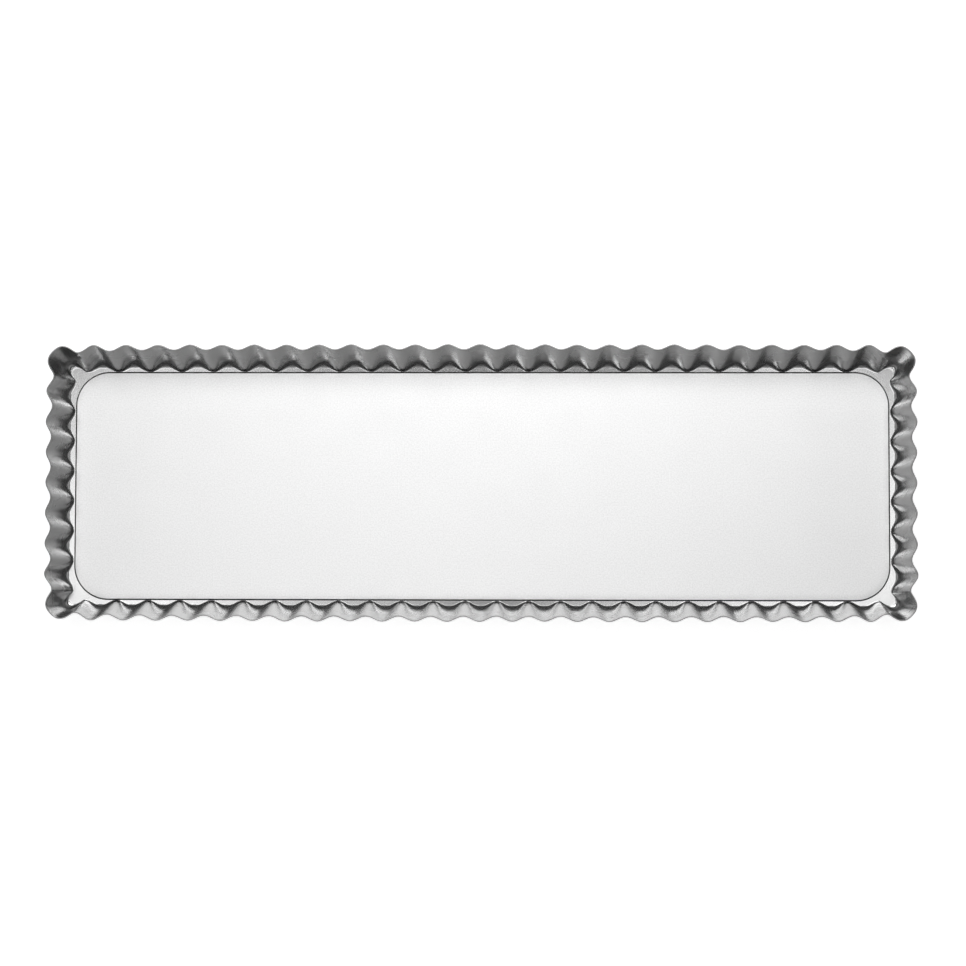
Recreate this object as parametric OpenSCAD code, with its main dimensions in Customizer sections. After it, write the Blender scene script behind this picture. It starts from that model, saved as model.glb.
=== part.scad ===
// Rectangular fluted tart pan with a loose base.
// The pan is two pressed sheets: a fluted ring with a narrow lip turned in at its foot, and a flat base
// that drops into the ring and rests on the lip.
// Frame: +X along the pan, +Y across it, +Z up; the origin is under the middle, on the surface it stands on.

/* [Pan] */
// Overall length over the rim
pan_l = 356; // [300:1:400]
// Overall width over the rim, at the middle
pan_w = 113.6; // [100:0.1:130]
// Overall height
pan_h = 25; // [20:0.5:30]
// How far each long wall leans out between foot and rim
long_flare = 5.1; // [3:0.1:6]
// How far each short wall leans out between foot and rim
short_flare = 4; // [3:0.1:6]
// How far the long rims bow out at the middle
rim_bow = 0.3; // [0:0.1:1]
// Thickness of the ring's sheet
ring_t = 0.5; // [0.4:0.05:0.6]

/* [Flutes] */
// Flutes along each long wall, without the corners
long_flutes = 25; // [21:2:27]
// Flutes along each short wall, without the corners
short_flutes = 7; // [5:2:9]
// Depth of a flute from crest to trough, at the foot
foot_depth = 2.5; // [1.5:0.1:2.8]
// Depth of a flute from crest to trough, at the rim
rim_depth = 2; // [1.5:0.1:2.5]
// How blunt the flutes are at the foot: 1 is a plain wave, as at the rim, and more narrows the troughs
foot_blunt = 1.4; // [1:0.1:1.6]
// Added depth of the trough beside a corner, at the foot
foot_corner_depth = 0.1; // [0:0.1:0.5]
// Added depth of the trough beside a corner, at the rim
rim_corner_depth = 0.9; // [0:0.1:2]
// How far along a wall that added depth fades to half
fade_l = 9.3; // [5:0.1:15]

/* [Corners] */
// Radius of the corner at the rim, over the crests
corner_r = 12.8; // [12:0.1:15]
// How far the corner lobe stands out past its crest radius, at the foot
foot_lobe_out = 2.3; // [0:0.1:2.5]
// How far the corner lobe stands out past its crest radius, at the rim
rim_lobe_out = 1.7; // [0.5:0.1:2]
// How blunt the lobe is at the rim: 1 is a plain wave, as at the foot, and more widens the lobe
lobe_blunt = 1.9; // [1:0.1:2]

/* [Foot] */
// Inside radius of the bend between lip and wall
bend_r = 0.4; // [0.2:0.1:0.6]
// How far the lip reaches in under the base
lip_under = 5; // [3:0.5:8]

/* [Base] */
// Length of the loose base
base_l = 339.9; // [330:0.1:341]
// Width of the loose base
base_w = 95.6; // [85:0.1:96.4]
// Corner radius of the loose base
base_r = 14.4; // [13:0.1:16]
// Thickness of the loose base
base_t = 0.6; // [0.5:0.05:0.8]
// Air between the lip and the base that lies on it
base_gap = 0.05; // [0.02:0.01:0.1]

/* [Hidden] */

flute_steps = 8;
lobe_steps = 12;

// Straight run of a wall, from the trough at one corner to the trough at the other
straight_l = pan_l - 2 * corner_r;
straight_w = pan_w - 2 * rim_bow - 2 * corner_r;

// The hole in the lip
hole_l = base_l - 2 * lip_under;
hole_w = base_w - 2 * lip_under;
hole_r = base_r - lip_under / 2;

// Mean lean of the walls from upright, and the bend's tangent length on the outside of the sheet
lean = atan((long_flare + short_flare) / 2 / pan_h);
outer_bend_r = bend_r + ring_t;
bend_run = outer_bend_r * tan((90 - lean) / 2);

// A size that changes evenly up the wall, at height share k
function between(foot, rim, k) = foot + (rim - foot) * k;

// Radius of a corner over its crests, on the side of a wall with that flare
function crest_radius(flare, k) = between(corner_r - flare, corner_r, k);

// Crest-to-trough depth a distance s along a wall from a corner
function depth_at(s, k) =
    let (added = between(foot_corner_depth, rim_corner_depth, k))
    between(foot_depth, rim_depth, k) + added / (1 + pow(s / fade_l, 2));

// A wave that is 1 in a trough and 0 on a crest, with its troughs narrowed by blunt
function trough(turn, blunt) = pow((1 + cos(turn)) / 2, blunt);

// How far outside the crest line a wall of that length and flute count runs, a distance s from its start
function wave(s, length, flutes, k) =
    -depth_at(min(s, length - s), k) * trough(360 * s * flutes / length, between(foot_blunt, 1, k));

// The same round a corner, at angle a: a trough at each end and one lobe between
function lobe(a, k) =
    let (out = between(foot_lobe_out, rim_lobe_out, k))
    out - (out + depth_at(0, k)) * trough(4 * a, between(1, lobe_blunt, k));

// How far a wall bows out at a share of its length; the foot bows half as far as the rim
function bow(share, middle, k) = middle * (1 + k) / 2 * (1 - pow(2 * share - 1, 2));

// One wall and the corner after it, as outline points: x along the wall, y out from the corner's centre
function side(length, flutes, middle_bow, flare, next_flare, k) = [
    for (i = [0 : flutes * flute_steps - 1])
        let (share = i / (flutes * flute_steps), s = share * length)
        [s - length / 2, crest_radius(flare, k) + bow(share, middle_bow, k) + wave(s, length, flutes, k)],
    for (i = [0 : lobe_steps - 1])
        let (a = 90 - 90 * i / lobe_steps)
        [
            length / 2 + (crest_radius(next_flare, k) + lobe(a, k)) * cos(a),
            (crest_radius(flare, k) + lobe(a, k)) * sin(a)
        ]
];

// The same points on the hole's outline, which is a plain rounded rectangle
function hole_side(length, flutes, straight, radius) = [
    for (i = [0 : flutes * flute_steps - 1]) [(i / (flutes * flute_steps) - 0.5) * straight, radius],
    for (i = [0 : lobe_steps - 1])
        let (a = 90 - 90 * i / lobe_steps)
        [straight / 2, 0] + radius * [cos(a), sin(a)]
];

function turned(points, a) = [
    for (p = points) [p.x * cos(a) - p.y * sin(a), p.x * sin(a) + p.y * cos(a)]
];
function moved(points, by) = [for (p = points) p + by];

// Four sides, clockwise from the back-left corner, each moved out from the middle
function all_round(long_side, short_side, out_y, out_x) = concat(
    moved(long_side, [0, out_y]),
    moved(turned(short_side, -90), [out_x, 0]),
    moved(turned(long_side, 180), [0, -out_y]),
    moved(turned(short_side, 90), [-out_x, 0])
);

// Outline of the outer skin at height share k
function outline(k) = all_round(
    side(straight_l, long_flutes, rim_bow, long_flare, short_flare, k),
    side(straight_w, short_flutes, 0, short_flare, long_flare, k),
    straight_w / 2,
    straight_l / 2
);
hole_outline = all_round(
    hole_side(straight_l, long_flutes, hole_l - 2 * hole_r, hole_r),
    hole_side(straight_w, short_flutes, hole_w - 2 * hole_r, hole_r),
    hole_w / 2 - hole_r,
    hole_l / 2 - hole_r
);

// A closed outline moved inwards by d, square to itself
function inset(points, d) =
    let (n = len(points))
    [
        for (i = [0 : n - 1])
            let (along = points[(i + 1) % n] - points[(i + n - 1) % n])
            points[i] + d * [along.y, -along.x] / norm(along)
    ];
function at_height(points, z) = [for (p = points) [p.x, p.y, z]];

// The skin at height z, a distance d inside the outer skin
function ring_at(z, d) = at_height(inset(outline(z / pan_h), d), z);

// A point of the bend: a degrees round from the lip, on a radius of r
function bend_at(a, r) =
    let (z = outer_bend_r - r * cos(a))
    ring_at(z, z * tan(lean) + bend_run - r * sin(a));

module fluted_ring() {
    sections = [
        at_height(hole_outline, 0),
        bend_at(0, outer_bend_r),
        bend_at(90 - lean, outer_bend_r),
        ring_at(pan_h, 0),
        ring_at(pan_h, ring_t / cos(lean)),
        bend_at(90 - lean, bend_r),
        bend_at(0, bend_r),
        at_height(hole_outline, ring_t)
    ];
    n = len(hole_outline);
    m = len(sections);
    color("silver")
        polyhedron(
            points = [for (section = sections) each section],
            faces = [
                for (j = [0 : m - 1], i = [0 : n - 1])
                    let (next_j = (j + 1) % m, next_i = (i + 1) % n)
                    [j * n + i, j * n + next_i, next_j * n + next_i, next_j * n + i]
            ]
        );
}

module loose_base() {
    color("gainsboro")
        translate([0, 0, ring_t + base_gap])
        linear_extrude(base_t)
        union() {
            square([base_l - 2 * base_r, base_w], center = true);
            square([base_l, base_w - 2 * base_r], center = true);
            for (x = [-1, 1], y = [-1, 1])
                translate([x * (base_l / 2 - base_r), y * (base_w / 2 - base_r)])
                circle(r = base_r, $fn = 96);
        }
}

fluted_ring();
loose_base();
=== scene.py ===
"""The looks of a rectangular fluted tart pan with a loose base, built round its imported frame.

The pan's sizes are in millimetres until a mesh is made, and the frame's own boxes give the overall ones.
"""

import copy
import math

import bmesh
import bpy
import numpy as np
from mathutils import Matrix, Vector


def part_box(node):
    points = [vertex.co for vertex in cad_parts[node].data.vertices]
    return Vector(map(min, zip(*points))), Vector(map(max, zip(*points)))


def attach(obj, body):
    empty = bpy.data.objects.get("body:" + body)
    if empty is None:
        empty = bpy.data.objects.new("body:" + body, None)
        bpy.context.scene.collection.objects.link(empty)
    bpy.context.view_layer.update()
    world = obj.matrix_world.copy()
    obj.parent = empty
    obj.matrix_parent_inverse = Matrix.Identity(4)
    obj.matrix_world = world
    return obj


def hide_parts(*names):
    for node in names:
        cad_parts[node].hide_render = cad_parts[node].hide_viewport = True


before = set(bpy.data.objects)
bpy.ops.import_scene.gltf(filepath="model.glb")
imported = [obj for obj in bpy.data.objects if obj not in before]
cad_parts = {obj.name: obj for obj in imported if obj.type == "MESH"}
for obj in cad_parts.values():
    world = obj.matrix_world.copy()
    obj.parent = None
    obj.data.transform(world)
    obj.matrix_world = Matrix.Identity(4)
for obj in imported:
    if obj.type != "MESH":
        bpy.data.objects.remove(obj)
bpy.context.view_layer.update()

MM = 0.001
RIGHT_ANGLE = math.pi / 2

# The frame's boxes, in millimetres
ring_low, ring_high = (np.array(c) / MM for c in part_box("fluted_ring"))
base_low, base_high = (np.array(c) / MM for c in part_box("loose_base"))
PAN_L, PAN_W, PAN_H = ring_high - ring_low
BASE_L, BASE_W = (base_high - base_low)[:2]

# The ring's walls: how far they lean out, how far the long rims bow out, and the sheet's thickness
LONG_FLARE, SHORT_FLARE = 5.1, 4.0
RIM_BOW = 0.3
RING_T = 0.5

# Its flutes, what is added to the depth of the trough at a corner, and where along the wall half is left
LONG_FLUTES, SHORT_FLUTES = 25, 7
FOOT_DEPTH, RIM_DEPTH = 3.1, 2.0
FOOT_CORNER_DEPTH, RIM_CORNER_DEPTH = 0.0, 0.9
FADE_L = 9.3

# Its corners: radius over the crests at the rim, and how far the lobe stands out past that
CORNER_R = 12.8
FOOT_LOBE_OUT, RIM_LOBE_OUT = 2.3, 1.7

# How blunt the lobes are at the rim and the flutes at the foot: 1 is a plain wave
LOBE_BLUNT = 1.9
FOOT_BLUNT = 1.4

# Its foot: a fold up to a first turn, then a bend, by their outside radii in the troughs, on the crests
# and in the corner lobes. Only on the crests is the bend wider than the fold.
FOLD_TURN = math.radians(35)
TROUGH_FOLD_R, CREST_FOLD_R, LOBE_FOLD_R = 0.9, 0.7, 3.0
TROUGH_BEND_R, CREST_BEND_R, LOBE_BEND_R = 0.9, 5.4, 3.0

# How far its lip reaches in under the base, and the radius of the base's corners
LIP_UNDER = 5.0
BASE_R = 14.4

# The base's die-rolled upper edge, in and down, and the radius of every other rounded edge
ROLL_L, ROLL_H = 0.6, 0.45
EDGE_R = 0.12

# Creases that the press leaves on both sides of each corner: how far past the corner's trough each lies,
# its height, tilt in degrees, half length, half width, and depth, where a negative one stands out
CREASE_KINDS = (
    (2.2, 15.0, 55, 3.2, 0.55, 0.32),
    (-1.0, 19.0, 60, 2.4, 0.5, -0.22),
    (0.4, 7.5, 20, 1.3, 0.9, -0.2),
    (5.5, 17.5, 10, 2.6, 0.8, 0.16),
    (-4.5, 14.0, 80, 6.0, 0.9, 0.14),
)

# How far one crease may differ from its kind: in place and height, in tilt, and as shares of its sizes
PLACE_SPREAD, HEIGHT_SPREAD = 0.7, 1.5
TILT_SPREAD = 12
LENGTH_SPREAD, DEPTH_SPREAD = 0.25, 0.4

# Long shallow waves in the ring's sheet: how many of each go round the pan, their greatest height at the
# rim, the shares of it that they may have, and the most that a phase shifts up the wall, in radians
RIPPLE_COUNTS = (5, 9, 14, 22, 31, 43, 58)
RIPPLE_H = 0.035
LEAST_RIPPLE, FULL_RIPPLE = 0.5, 1.0
RIPPLE_TWIST = 2

# The seed of all that is random
SEED = 7

# How finely the ring is meshed: more steps in the flutes near a corner than in the others, and lines on
# the lip at shares of its width, from the hole outwards underneath and from the bend inwards on top
NEAR_FLUTES = 2
NEAR_STEPS, FAR_STEPS = 26, 16
LOBE_STEPS = 48
FOLD_STEPS, BEND_STEPS = 3, 4
WALL_STEPS = 18
EDGE_STEPS = 3
UNDER_LIP_SHARES = (0.35, 0.7, 0.96)
OVER_LIP_SHARES = (0.04, 0.3, 0.65, 1.0)

# How far to either side of a point the outline's direction is measured
SLOPE_STEP = 0.02

# How finely the base is meshed, and how near points have to be to be joined
BASE_LONG_STEPS, BASE_SHORT_STEPS, BASE_CORNER_STEPS = 120, 36, 24
BASE_EDGE_STEPS = 5
BASE_RINGS = 20
MERGE_WITHIN = 0.002

# Sizes and angles that follow from the ones above
STRAIGHT_L = PAN_L - 2 * CORNER_R
STRAIGHT_W = PAN_W - 2 * RIM_BOW - 2 * CORNER_R
CORNER_ARC = CORNER_R * RIGHT_ANGLE
ROUND = 2 * (STRAIGHT_L + STRAIGHT_W) + 4 * CORNER_ARC
LEAN = math.atan((LONG_FLARE + SHORT_FLARE) / 2 / PAN_H)
LAST_TURN = RIGHT_ANGLE - LEAN
RIM_T = RING_T / math.cos(LEAN)
HOLE_L, HOLE_W = BASE_L - 2 * LIP_UNDER, BASE_W - 2 * LIP_UNDER
HOLE_R = BASE_R - LIP_UNDER / 2
SPINE_HALF = (BASE_L - BASE_W) / 2

# Sheet steel: noise cells per metre in its patches, its grain and its drawing marks, which run upright
PATCH_SCALE, GRAIN_SCALE, DRAWN_SCALE = 60.0, 1700.0, 300.0
EVEN, UPRIGHT = (1.0, 1.0, 1.0), (1.0, 1.0, 0.08)

# How far the patches vary its shade, as a share, and its roughness, and the span that noise mostly fills
PATCH_SHADE, PATCH_ROUGHNESS = 0.006, 0.012
NOISE_LOW, NOISE_HIGH = 0.3, 0.7

# Heights between which a sheet's roughness changes from its foot's to its walls'
LIP_SHEEN_TOP, WALL_SHEEN_FOOT = 1.0, 3.5

# The floor: half its side in metres, its looks, and how much light it gives off by itself
FLOOR_HALF = 6.0
FLOOR_GREY, FLOOR_ROUGHNESS, FLOOR_GLOW = 0.9, 0.8, 0.68

# Softboxes, each facing the pan: bearings east and north of overhead, then the angles that it spans across
# and along the line from it towards overhead, all in degrees, and the light that it throws on the pan
SOFTBOXES = {
    "softbox_left": (-14.5, 0, 12, 24, 0.1),
    "softbox_left_core": (-12.4, 3, 10, 6, 0.035),
    "softbox_left_low": (-16, -19, 11, 12, 0.2),
    "softbox_right": (11.5, 1.5, 9, 21, 0.08),
    "softbox_right_core": (9.8, 3, 10, 5.6, 0.03),
    "softbox_right_low": (9.5, -16, 6, 12, 0.04),
    "softbox_back": (0, 25.5, 27, 27, 1.05),
    "softbox_front": (0, -24, 24, 16, 0.085),
}
SOFTBOX_DISTANCE = 2.0

# The room's light at the horizon and overhead, and the height at which it has faded to the second, where
# 0 is the horizon and 1 is overhead
ROOM_HORIZON, ROOM_OVERHEAD = 0.7, 0.07
ROOM_FADE_TOP = 0.75

# The camera: place in metres, turn in radians, and lens and sensor in millimetres
CAMERA_PLACE = (0.0238, -0.0647, 1.0853)
CAMERA_TURN = (0.0608, 0.0211, 0.0024)
CAMERA_LENS, CAMERA_SENSOR = 97.1, 36

rng = np.random.default_rng(SEED)


def between(start, end, share):
    """The value that lies a share of the way from start to end."""
    return start + (end - start) * share


def even_shares(steps):
    return np.arange(steps) / steps


def quarter_turn(steps):
    """Angles from 0 to a right angle, both included."""
    return [RIGHT_ANGLE * i / steps for i in range(steps + 1)]


class Around:
    """Points round the pan, clockwise from above: arrays of where each lies on its wall or corner.

    A share is how far along its wall a point lies, an angle is its bearing from its corner's centre, and
    an arc is its distance round the pan. The other arrays are the sizes that hold at each point.
    """

    def __init__(self, long_shares, short_shares, corner_steps):
        wall, corner, share, angle, arc = [], [], [], [], []
        start = 0.0
        turned = even_shares(corner_steps)
        for side in range(4):
            shares, length = (long_shares, STRAIGHT_L) if side % 2 == 0 else (short_shares, STRAIGHT_W)
            n = len(shares)
            wall += [side] * (n + corner_steps)
            corner += [False] * n + [True] * corner_steps
            share += list(shares) + [1.0] * corner_steps
            angle += [RIGHT_ANGLE] * n + list(RIGHT_ANGLE * (1 - turned))
            arc += list(start + shares * length)
            arc += list(start + length + turned * CORNER_ARC)
            start += length + CORNER_ARC
        self.wall = np.array(wall)
        self.corner = np.array(corner)
        self.share = np.array(share)
        self.angle = np.array(angle)
        self.arc = np.array(arc)
        long_wall = self.wall % 2 == 0
        self.length = np.where(long_wall, STRAIGHT_L, STRAIGHT_W)
        self.flutes = np.where(long_wall, LONG_FLUTES, SHORT_FLUTES)
        self.bow = np.where(long_wall, RIM_BOW, 0.0)
        self.flare = np.where(long_wall, LONG_FLARE, SHORT_FLARE)
        self.next_flare = np.where(long_wall, SHORT_FLARE, LONG_FLARE)
        self.count = len(self.wall)

    def trough_share(self):
        """1 in the troughs, falling to 0 on the crests and in the middle of each corner's lobe."""
        turn = 2 * math.pi * self.share * self.flutes
        return np.clip((1 + np.cos(np.where(self.corner, 4 * self.angle, turn))) / 2, 0, 1)

    def moved(self, step):
        """The same points, all moved on round the pan by a small step."""
        other = copy.copy(self)
        other.share = np.where(self.corner, self.share, self.share + step / self.length)
        other.angle = np.where(self.corner, self.angle - step / CORNER_R, self.angle)
        other.arc = self.arc + step
        return other


def flute_shares(flutes):
    """Shares along a wall, with more of them in the flutes near its ends."""
    shares = []
    for flute in range(flutes):
        near = min(flute, flutes - 1 - flute) < NEAR_FLUTES
        shares.append((flute + even_shares(NEAR_STEPS if near else FAR_STEPS)) / flutes)
    return np.concatenate(shares)


def make_creases():
    """The creases beside all four corners: place round the pan, and the rest as in CREASE_KINDS."""
    creases = []
    trough = CORNER_ARC / 2
    middle = -trough
    for side in range(4):
        middle += (STRAIGHT_L if side % 2 == 0 else STRAIGHT_W) + CORNER_ARC
        for way in (-1, 1):
            for past_trough, height, tilt, half_l, half_w, depth in CREASE_KINDS:
                jitter = rng.uniform(-1, 1, 5)
                creases.append((
                    middle + way * (trough + past_trough + PLACE_SPREAD * jitter[0]),
                    height + HEIGHT_SPREAD * jitter[1],
                    math.radians(way * (tilt + TILT_SPREAD * jitter[2])),
                    half_l * (1 + LENGTH_SPREAD * jitter[3]),
                    half_w,
                    depth * (1 + DEPTH_SPREAD * jitter[4]),
                ))
    return creases


def make_ripples():
    """The ripples: how many go round the pan, phase, how far that shifts up to the rim, and height."""
    return [
        (
            count,
            rng.uniform(0, 2 * math.pi),
            rng.uniform(-RIPPLE_TWIST, RIPPLE_TWIST),
            rng.uniform(LEAST_RIPPLE, FULL_RIPPLE) * RIPPLE_H,
        )
        for count in RIPPLE_COUNTS
    ]


CREASES = make_creases()
RIPPLES = make_ripples()


def dents(around, k):
    """How far the sheet lies inside its true form at height share k, from its creases and ripples."""
    z = k * PAN_H
    inside = np.zeros(around.count)
    for place, height, tilt, half_l, half_w, depth in CREASES:
        s = (around.arc - place + ROUND / 2) % ROUND - ROUND / 2
        along = s * math.cos(tilt) + (z - height) * math.sin(tilt)
        across = (z - height) * math.cos(tilt) - s * math.sin(tilt)
        inside += depth * np.exp(-(along / half_l) ** 2 - (across / half_w) ** 2)
    for count, phase, twist, height in RIPPLES:
        inside += height * k * np.sin(2 * math.pi * count * around.arc / ROUND + phase + twist * k)
    return inside


def depth_at(s, k):
    """A flute's depth from crest to trough, a distance s along a wall from a corner."""
    added = between(FOOT_CORNER_DEPTH, RIM_CORNER_DEPTH, k)
    return between(FOOT_DEPTH, RIM_DEPTH, k) + added / (1 + (s / FADE_L) ** 2)


def outline(around, k):
    """The ring's outer skin at height share k, as x and y."""
    s = around.share * around.length
    from_corner = np.minimum(s, around.length - s)
    wave = -depth_at(from_corner, k) * around.trough_share() ** between(FOOT_BLUNT, 1, k)
    dented = dents(around, k)
    bowed = around.bow * (1 + k) / 2 * (1 - (2 * around.share - 1) ** 2)
    crest_r = between(CORNER_R - around.flare, CORNER_R, k)
    next_crest_r = between(CORNER_R - around.next_flare, CORNER_R, k)
    wall_x = s - around.length / 2
    wall_y = crest_r + bowed + wave - dented

    out = between(FOOT_LOBE_OUT, RIM_LOBE_OUT, k)
    lobe = out - (out + depth_at(0, k)) * around.trough_share() ** between(1, LOBE_BLUNT, k) - dented
    lobe_x = around.length / 2 + (next_crest_r + lobe) * np.cos(around.angle)
    lobe_y = (crest_r + lobe) * np.sin(around.angle)

    x = np.where(around.corner, lobe_x, wall_x)
    y = np.where(around.corner, lobe_y, wall_y)
    return turned_to_wall(around, x, y, STRAIGHT_L / 2, STRAIGHT_W / 2)


def turned_to_wall(around, x, y, half_l, half_w):
    """Turns points from their wall's own axes to the pan's, and moves them out from the middle."""
    turn = -RIGHT_ANGLE * around.wall
    out_x = np.choose(around.wall, [0, half_l, 0, -half_l])
    out_y = np.choose(around.wall, [half_w, 0, -half_w, 0])
    cos, sin = np.cos(turn), np.sin(turn)
    return np.stack([x * cos - y * sin + out_x, x * sin + y * cos + out_y], axis=1)


def inward(around, k):
    """Two sets of unit vectors into the pan at height share k.

    The first are square to the outline. The second are the same on a wall, but in a corner's lobe they
    point to the corner's centre.
    """
    along = outline(around.moved(SLOPE_STEP), k) - outline(around.moved(-SLOPE_STEP), k)
    along /= np.linalg.norm(along, axis=1, keepdims=True)
    square = np.stack([along[:, 1], -along[:, 0]], axis=1)
    to_centre = turned_to_wall(around, -np.cos(around.angle), -np.sin(around.angle), 0, 0)
    return square, np.where(around.corner[:, None], to_centre, square)


def rounded_outline(around, length, width, radius):
    """A plain rounded rectangle, with its points on the same sides and corners as the given ones."""
    straight = np.where(around.wall % 2 == 0, length, width) - 2 * radius
    side_x = (around.share - 0.5) * straight
    x = np.where(around.corner, straight / 2 + radius * np.cos(around.angle), side_x)
    y = np.where(around.corner, radius * np.sin(around.angle), radius)
    return turned_to_wall(around, x, y, length / 2 - radius, width / 2 - radius)


def at(points, z):
    """Flat points raised to height z, which is one height for all or one for each."""
    return np.column_stack([points, np.broadcast_to(z, len(points))])


def rim_start(depth):
    """Where the rim's rounding starts: the sheet is cut square, so its inside ends a little higher."""
    return PAN_H - EDGE_R - (RING_T - depth) * math.sin(LEAN)


def foot_turns():
    """How far the sheet has turned at each line of the foot, from the lip to the wall."""
    fold = FOLD_TURN * even_shares(FOLD_STEPS)
    bend = FOLD_TURN + (LAST_TURN - FOLD_TURN) * np.arange(BEND_STEPS + 1) / BEND_STEPS
    return np.concatenate([fold, bend])


class RingSheet:
    """Lines round the ring's sheet, at a depth that is 0 on its outer skin and RING_T on its inner one."""

    def __init__(self, around):
        self.around = around
        to_trough = around.trough_share()
        crest_fold_r = np.where(around.corner, LOBE_FOLD_R, CREST_FOLD_R)
        crest_bend_r = np.where(around.corner, LOBE_BEND_R, CREST_BEND_R)
        self.fold_r = between(crest_fold_r, TROUGH_FOLD_R, to_trough)
        self.bend_r = between(crest_bend_r, TROUGH_BEND_R, to_trough)
        last_out, self.last_up = self.bent(LAST_TURN)
        self.last_run = last_out - self.last_up * math.tan(LEAN)

    def bent(self, turn):
        """How far out and up the outer skin is after a turn: first round the fold, then round the bend."""
        fold, bend = min(turn, FOLD_TURN), max(turn, FOLD_TURN)
        fold_out = self.fold_r * math.sin(fold)
        fold_up = self.fold_r * (1 - math.cos(fold))
        bend_out = self.bend_r * (math.sin(bend) - math.sin(FOLD_TURN))
        bend_up = self.bend_r * (math.cos(FOLD_TURN) - math.cos(bend))
        return fold_out + bend_out, fold_up + bend_up

    def skin(self, z, thickness, run=0.0):
        """The outer skin at height z, moved in by a thickness of sheet and along the lip by a run."""
        k = z / PAN_H
        square, along_lip = inward(self.around, k)
        moved_in = square * np.reshape(thickness, (-1, 1)) + along_lip * np.reshape(run, (-1, 1))
        return at(outline(self.around, k) + moved_in, z)

    def foot(self, turn, depth):
        """The foot after a turn, from the lip, which is 0, up to the wall."""
        out, up = self.bent(turn)
        run = up * math.tan(LEAN) + self.last_run - out
        thickness = depth * (math.sin(turn) + math.cos(turn) * math.tan(LEAN))
        return self.skin(up + depth * math.cos(turn), thickness, run)

    def wall(self, share, depth):
        """The wall at a share of the way up from the bend to the rim's rounding."""
        foot_z = self.last_up + depth * math.cos(LAST_TURN)
        return self.skin(between(foot_z, rim_start(depth), share), depth / math.cos(LEAN))

    def outer_rim(self, turn):
        """The rim's outer rounding, which rises over a quarter turn."""
        return self.skin(rim_start(0) + EDGE_R * math.sin(turn), EDGE_R - EDGE_R * math.cos(turn))

    def inner_rim(self, turn):
        """The rim's inner rounding, which comes down again over a quarter turn."""
        thickness = RIM_T - EDGE_R + EDGE_R * math.sin(turn)
        return self.skin(rim_start(RING_T) + EDGE_R * math.cos(turn), thickness)

    def hole(self, z, out):
        """The hole in the lip at height z, made larger all round by an amount."""
        return at(rounded_outline(self.around, HOLE_L + 2 * out, HOLE_W + 2 * out, HOLE_R + out), z)


def ring_sections(around):
    """The lines that make up the ring's closed section, and which strips between them are its cut rim."""
    sheet = RingSheet(around)
    turns = foot_turns()
    quarter = quarter_turn(EDGE_STEPS)

    below = []
    for a in quarter:
        below.append(sheet.hole(EDGE_R - EDGE_R * math.sin(a), EDGE_R - EDGE_R * math.cos(a)))
    hole_foot, lip_foot = below[-1], sheet.foot(0, 0)
    below += [between(hole_foot, lip_foot, share) for share in UNDER_LIP_SHARES]

    outside = [sheet.foot(turn, 0) for turn in turns]
    outside += [sheet.wall(i / WALL_STEPS, 0) for i in range(1, WALL_STEPS + 1)]

    rim = [sheet.outer_rim(a) for a in quarter[1:]]
    rim += [sheet.inner_rim(a) for a in quarter]

    inside = [sheet.wall(i / WALL_STEPS, RING_T) for i in range(WALL_STEPS - 1, -1, -1)]
    inside += [sheet.foot(turn, RING_T) for turn in turns[-2::-1]]

    hole_top, lip_top = sheet.hole(RING_T, EDGE_R), inside[-1]
    above = [between(lip_top, hole_top, share) for share in OVER_LIP_SHARES]
    for a in quarter[1:]:
        above.append(sheet.hole(RING_T - EDGE_R + EDGE_R * math.cos(a), EDGE_R - EDGE_R * math.sin(a)))

    first_rim_row = len(below) + len(outside) - 1
    return below + outside + rim + inside + above, range(first_rim_row, first_rim_row + len(rim))


def sheet_mesh(name, sections, materials, edge_rows, closed):
    """A mesh of quads between lines round the pan; the given rows take the second material: on the ring its
    cut rim, on the base its edge of painted shade.

    If closed, the last line joins the first.
    """
    rows, n = len(sections), len(sections[0])
    points = np.concatenate(sections) * MM
    i = np.arange(n)
    faces, slots = [], []
    for j in range(rows if closed else rows - 1):
        a, b = j * n, (j + 1) % rows * n
        faces.append(np.stack([a + i, b + i, b + (i + 1) % n, a + (i + 1) % n], axis=1))
        slots.append(np.full(n, int(j in edge_rows)))
    mesh = bpy.data.meshes.new(name)
    mesh.from_pydata(points.tolist(), [], np.concatenate(faces).tolist())
    mesh.polygons.foreach_set("material_index", np.concatenate(slots))
    mesh.shade_smooth()
    for material in materials:
        mesh.materials.append(material)
    mesh.validate()
    piece = bpy.data.objects.new(name, mesh)
    bpy.context.scene.collection.objects.link(piece)
    return piece


def new_material(name):
    """A new material and its node tree, which starts with a Principled BSDF."""
    material = bpy.data.materials.new(name)
    material.use_nodes = True
    return material, material.node_tree


def ramp(tree, value, low, high, start=NOISE_LOW, end=NOISE_HIGH):
    """A value that goes from low to high as another goes from start to end."""
    node = tree.nodes.new("ShaderNodeMapRange")
    node.inputs["From Min"].default_value = start
    node.inputs["From Max"].default_value = end
    node.inputs["To Min"].default_value = low
    node.inputs["To Max"].default_value = high
    tree.links.new(value, node.inputs["Value"])
    return node.outputs["Result"]


def noise(tree, place, scale, stretch, detail):
    """A cloudy value that varies over a place, drawn out along an axis where stretch is small."""
    mapping = tree.nodes.new("ShaderNodeMapping")
    mapping.inputs["Scale"].default_value = stretch
    tree.links.new(place, mapping.inputs["Vector"])
    texture = tree.nodes.new("ShaderNodeTexNoise")
    texture.inputs["Scale"].default_value = scale
    texture.inputs["Detail"].default_value = detail
    tree.links.new(mapping.outputs["Vector"], texture.inputs["Vector"])
    return texture.outputs["Fac"]


def added(tree, one, other):
    """The sum of two values."""
    node = tree.nodes.new("ShaderNodeMath")
    node.operation = "ADD"
    tree.links.new(one, node.inputs[0])
    tree.links.new(other, node.inputs[1])
    return node.outputs["Value"]


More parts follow.
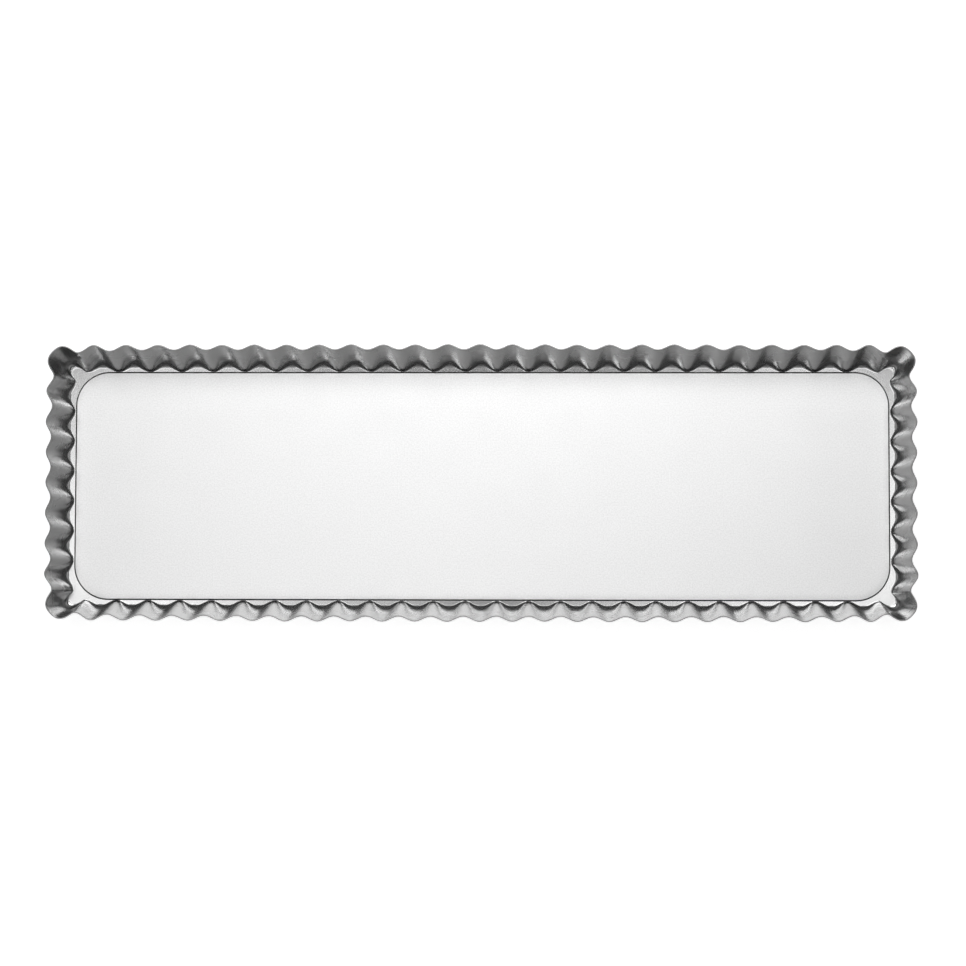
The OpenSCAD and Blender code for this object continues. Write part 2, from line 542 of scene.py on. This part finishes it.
def bump(tree, height, distance, normal=None):
    """A surface normal tilted by a height of up to a distance, on top of another normal if given."""
    node = tree.nodes.new("ShaderNodeBump")
    node.inputs["Distance"].default_value = distance * MM
    tree.links.new(height, node.inputs["Height"])
    if normal is not None:
        tree.links.new(normal, node.inputs["Normal"])
    return node.outputs["Normal"]


def tin_material(name, grey, speck, roughness, metallic, grain, streaks, foot_roughness=None):
    """Sheet steel: fine specks and grain, faint upright drawing marks, and a patchy sheen.

    Grain and streaks are bump heights in millimetres. A foot roughness is for a sheet with a smoother foot.
    """
    material, tree = new_material(name)
    shader = tree.nodes["Principled BSDF"]
    shader.inputs["Metallic"].default_value = metallic
    place = tree.nodes.new("ShaderNodeTexCoord").outputs["Object"]
    patches = noise(tree, place, PATCH_SCALE, EVEN, detail=3.0)
    fine = noise(tree, place, GRAIN_SCALE, EVEN, detail=2.0)
    drawn = noise(tree, place, DRAWN_SCALE, UPRIGHT, detail=3.0)

    split = tree.nodes.new("ShaderNodeSeparateXYZ")
    tree.links.new(place, split.inputs["Vector"])
    foot = roughness if foot_roughness is None else foot_roughness
    sheen = ramp(tree, split.outputs["Z"], foot, roughness, LIP_SHEEN_TOP * MM, WALL_SHEEN_FOOT * MM)
    patchy = ramp(tree, patches, -PATCH_ROUGHNESS, PATCH_ROUGHNESS)
    tree.links.new(added(tree, sheen, patchy), shader.inputs["Roughness"])

    shade = ramp(tree, patches, grey * (1 - PATCH_SHADE), grey * (1 + PATCH_SHADE))
    specks = ramp(tree, fine, -speck, speck)
    tree.links.new(added(tree, shade, specks), shader.inputs["Base Color"])

    grained = bump(tree, fine, grain)
    tree.links.new(bump(tree, drawn, streaks, grained), shader.inputs["Normal"])
    return material


def ring_tin():
    """The ring's tin, half bright, and smoother on its lip and foot than on its walls."""
    return tin_material(
        "ring_tinplate", grey=0.46, speck=0.005, foot_roughness=0.17, roughness=0.27, metallic=0.95,
        grain=0.002, streaks=0.008,
    )


def ring_cut_edge():
    """The ring's cut rim, rougher than the sheet."""
    return tin_material(
        "ring_cut_edge", grey=0.42, speck=0.03, roughness=0.42, metallic=1.0, grain=0.02, streaks=0.01,
    )


def base_tin():
    """The base's tin, light and matt, with a speckled grain."""
    return tin_material(
        "base_tinplate", grey=0.82, speck=0.055, roughness=0.46, metallic=1.0, grain=0.02, streaks=0.001,
    )


def base_edge_painted_shade():
    """The base's upright cut side and rolled top edge: near black and dull, painted shade that draws the
    dark shadow line round the plate, far darker than the bare cut steel of its side would be on its own.
    """
    return tin_material(
        "base_edge_painted_shade", grey=0.03, speck=0.008, roughness=0.6, metallic=0.0, grain=0.02, streaks=0.01,
    )


def build_ring():
    """The fluted ring: one sheet with flared fluted walls, a cut rim, a foot bend and a lip turned in."""
    around = Around(flute_shares(LONG_FLUTES), flute_shares(SHORT_FLUTES), LOBE_STEPS)
    sections, rim_rows = ring_sections(around)
    ring = sheet_mesh("fluted_ring_sheet", sections, [ring_tin(), ring_cut_edge()], rim_rows, closed=True)
    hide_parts("fluted_ring")
    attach(ring, "ring")


def base_outline(around, z, inset):
    """The base's outline at height z, made smaller all round by an inset."""
    return at(rounded_outline(around, BASE_L - 2 * inset, BASE_W - 2 * inset, BASE_R - inset), z)


def towards_spine(edge, share):
    """An edge line drawn in towards the line along the base's middle, where share 0 is on that line."""
    spine_x = np.clip(edge[:, 0], -SPINE_HALF, SPINE_HALF)
    x = spine_x + (edge[:, 0] - spine_x) * share
    return np.column_stack([x, edge[:, 1] * share, edge[:, 2]])


def base_sections():
    """Lines from the base's middle out underneath, round its edge and back in on top.

    Which strips between them are its edge of painted shade comes second: its upright side and its rolled
    upper edge, painted near black as the shadow line round the plate.
    """
    around = Around(even_shares(BASE_LONG_STEPS), even_shares(BASE_SHORT_STEPS), BASE_CORNER_STEPS)
    z_low, z_high = base_low[2], base_high[2]
    under, over = [], []
    for a in quarter_turn(BASE_EDGE_STEPS):
        rise, inset = EDGE_R - EDGE_R * math.cos(a), EDGE_R - EDGE_R * math.sin(a)
        under.append(base_outline(around, z_low + rise, inset))
        roll_rise, roll_inset = ROLL_H * math.sin(a), ROLL_L * (1 - math.cos(a))
        over.append(base_outline(around, z_high - ROLL_H + roll_rise, roll_inset))
    shares = [1 - i / BASE_RINGS for i in range(1, BASE_RINGS + 1)]
    sections = [towards_spine(under[0], share) for share in reversed(shares)]
    sections += under + over
    sections += [towards_spine(over[-1], share) for share in shares]
    first_painted_shade_row = BASE_RINGS + BASE_EDGE_STEPS
    return sections, range(first_painted_shade_row, first_painted_shade_row + BASE_EDGE_STEPS + 1)


def merge_doubles(mesh):
    """Joins the points that fell together on the base's spine."""
    merged = bmesh.new()
    merged.from_mesh(mesh)
    bmesh.ops.remove_doubles(merged, verts=merged.verts, dist=MERGE_WITHIN * MM)
    merged.to_mesh(mesh)
    merged.free()


def build_base():
    """The loose base: a flat sheet with rounded corners, a die-rolled top edge and a sharper lower one."""
    sections, edge_rows = base_sections()
    # The base's edge takes a near-black material: painted shade for the shadow line round the plate.
    piece = sheet_mesh("loose_base_plate", sections, [base_tin(), base_edge_painted_shade()], edge_rows, closed=False)
    merge_doubles(piece.data)
    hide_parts("loose_base")
    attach(piece, "base")


def floor_material():
    """A plain light surface that gives off light as well, so that it stays bright and even."""
    material, tree = new_material("floor")
    shader = tree.nodes["Principled BSDF"]
    shader.inputs["Base Color"].default_value = (FLOOR_GREY, FLOOR_GREY, FLOOR_GREY, 1)
    shader.inputs["Roughness"].default_value = FLOOR_ROUGHNESS
    shader.inputs["Emission Color"].default_value = (1, 1, 1, 1)
    shader.inputs["Emission Strength"].default_value = FLOOR_GLOW
    return material


def build_floor():
    mesh = bpy.data.meshes.new("floor")
    half = FLOOR_HALF
    corners = [(-half, -half, 0), (half, -half, 0), (half, half, 0), (-half, half, 0)]
    mesh.from_pydata(corners, [], [(0, 1, 2, 3)])
    mesh.materials.append(floor_material())
    floor = bpy.data.objects.new("floor", mesh)
    bpy.context.scene.collection.objects.link(floor)


def span_size(degrees):
    """The size in metres of a light that spans an angle at the softboxes' distance."""
    return 2 * SOFTBOX_DISTANCE * math.tan(math.radians(degrees) / 2)


def build_softbox(name, east, north, across, along, strength):
    """A soft light above the pan, facing it. Its arguments are explained at SOFTBOXES."""
    sight = np.array([math.tan(math.radians(east)), math.tan(math.radians(north)), 1.0])
    sight /= np.linalg.norm(sight)
    light = bpy.data.lights.new(name, "AREA")
    light.shape = "RECTANGLE"
    light.size = span_size(across)
    light.size_y = span_size(along)
    light.energy = strength * math.pi * SOFTBOX_DISTANCE ** 2
    lamp = bpy.data.objects.new(name, light)
    lamp.location = sight * SOFTBOX_DISTANCE
    lamp.rotation_euler = Vector(sight).to_track_quat("Z", "Y").to_euler()
    bpy.context.scene.collection.objects.link(lamp)


def build_lights():
    for name, facts in SOFTBOXES.items():
        build_softbox(name, *facts)


def build_room():
    """A plain studio round the pan: dim overhead, between the softboxes, and lighter towards the walls."""
    world = bpy.data.worlds.new("studio")
    world.use_nodes = True
    tree = world.node_tree
    background = tree.nodes["Background"]
    sight = tree.nodes.new("ShaderNodeTexCoord")
    split = tree.nodes.new("ShaderNodeSeparateXYZ")
    tree.links.new(sight.outputs["Generated"], split.inputs["Vector"])
    fade = ramp(tree, split.outputs["Z"], ROOM_HORIZON, ROOM_OVERHEAD, 0.0, ROOM_FADE_TOP)
    fade.node.interpolation_type = "SMOOTHSTEP"
    background.inputs["Color"].default_value = (1, 1, 1, 1)
    tree.links.new(fade, background.inputs["Strength"])
    bpy.context.scene.world = world


def build_camera():
    data = bpy.data.cameras.new("camera")
    data.sensor_width = CAMERA_SENSOR
    data.lens = CAMERA_LENS
    camera = bpy.data.objects.new("camera", data)
    camera.location = CAMERA_PLACE
    camera.rotation_euler = CAMERA_TURN
    bpy.context.scene.collection.objects.link(camera)
    bpy.context.scene.camera = camera


build_camera()
build_ring()
build_base()
build_floor()
build_lights()
build_room()
bpy.context.scene.view_settings.view_transform = "Standard"
